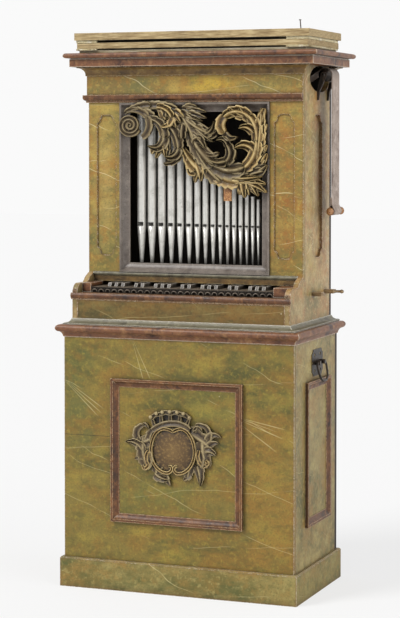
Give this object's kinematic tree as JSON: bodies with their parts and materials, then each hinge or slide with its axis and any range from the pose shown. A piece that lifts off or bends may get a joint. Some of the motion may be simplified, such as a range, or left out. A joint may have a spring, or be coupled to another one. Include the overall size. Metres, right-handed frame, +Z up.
{
  "type": "pipe organ",
  "caption": "Small free-standing pipe organ: painted case on a plinth, keyboard, front pipes behind a carved shade, bellows with a side strap on top.",
  "frame": {"origin": "on the floor under the middle of the lower case, at the plinth's underside", "axes": "+X to the player's right, +Y from the player into the case, +Z up"},
  "size_m": [0.89, 0.534, 1.858],
  "materials": {
    "marbled": "olive and ochre painted marbling, worn",
    "moulding": "red-brown painted moulding, chipped",
    "painted_pale": "grey painted moulding, chipped",
    "bare_wood": "bare wood, aged",
    "carving": "carved and once gilded wood",
    "gilded_carving": "carved wood, worn gilding",
    "window_paint": "violet-grey paint, satin",
    "pipe_metal": "dull tin pipe metal",
    "natural_keys": "dark wooden keys with grey-brown worn tops",
    "sharp_keys": "dark keys with pale worn fronts",
    "iron": "blackened iron",
    "bellows_wood": "bare softwood, dusty",
    "bellows_leather": "thin cream leather, wrinkled",
    "strap_leather": "old grey-pink leather strap",
    "turned_wood": "turned wood, waxed by hands",
    "lever_wood": "bare wood, dark at the knob"
  },
  "bodies": {
    "case": {"plinth": "painted_pale", "lower_front_wall": "marbled", "lower_back_wall": "marbled", "lower_side_walls": "marbled", "lower_cornice": "moulding", "lower_shelf": "bare_wood", "front_panel_frame": "moulding", "side_panel_frames": "moulding", "cartouche": "carving", "crown": "carving", "handle_plates": "iron", "base_moulding": "painted_pale", "keybox_front": "marbled", "cheeks": "marbled", "key_ledge": "moulding", "key_bed": "bare_wood", "naturals": "natural_keys", "sharps": "sharp_keys", "key_blocks": "moulding", "name_board": "painted_pale", "sill_bead": "painted_pale", "upper_front": "marbled", "upper_back": "marbled", "upper_left_wall": "marbled", "upper_right_wall": "marbled", "window_frame": "window_paint", "windchest_board": "bare_wood", "front_pipes": "pipe_metal", "pipe_shade": "gilded_carving", "repair_tab": "bare_wood", "architrave": "moulding", "frieze": "marbled", "cornice_cove": "moulding", "main_cornice": "moulding", "cornice_board": "bare_wood", "bellows_base": "bellows_wood", "bellows_lower_fold": "bellows_leather", "roller_arms": "iron", "pull_strap": "strap_leather", "toggle": "turned_wood"},
    "handle_left": {"handle_bail_left": "iron"},
    "handle_right": {"handle_bail_right": "iron"},
    "roller_body": {"roller": "turned_wood"},
    "stop_front": {"stop_lever_front": "lever_wood"},
    "stop_rear": {"stop_lever_rear": "lever_wood"},
    "bellows_middle": {"bellows_middle_frame": "bellows_wood", "bellows_upper_fold": "bellows_leather"},
    "bellows_top": {"bellows_top_board": "bellows_wood", "iron_pin": "iron"}
  },
  "joints": [
    {"name": "handle_left_swing", "type": "hinge", "parent": "case", "child": "handle_left", "pos_m": [-0.415, 0.008, 0.75], "axis": [0, 1, 0], "range_deg": [0, 95]},
    {"name": "handle_right_swing", "type": "hinge", "parent": "case", "child": "handle_right", "pos_m": [0.415, 0.008, 0.75], "axis": [0, -1, 0], "range_deg": [0, 95]},
    {"name": "roller_spin", "type": "hinge", "parent": "case", "child": "roller_body", "pos_m": [0.402, 0.124, 1.686], "axis": [0, 1, 0], "continuous": true},
    {"name": "stop_front_slide", "type": "slide", "parent": "case", "child": "stop_front", "axis": [1, 0, 0], "range_m": [-0.02, 0]},
    {"name": "stop_rear_slide", "type": "slide", "parent": "case", "child": "stop_rear", "axis": [1, 0, 0], "range_m": [-0.02, 0]},
    {"name": "bellows_middle_rise", "type": "slide", "parent": "case", "child": "bellows_middle", "axis": [0, 0, 1], "range_m": [0, 0.04], "deforming": ["bellows_lower_fold"]},
    {"name": "bellows_top_rise", "type": "slide", "parent": "bellows_middle", "child": "bellows_top", "axis": [0, 0, 1], "range_m": [0, 0.04], "deforming": ["bellows_upper_fold"]}
  ],
  "couplings": [
    {"joint": "bellows_top_rise", "follows": "bellows_middle_rise", "ratio": 1}
  ]
}
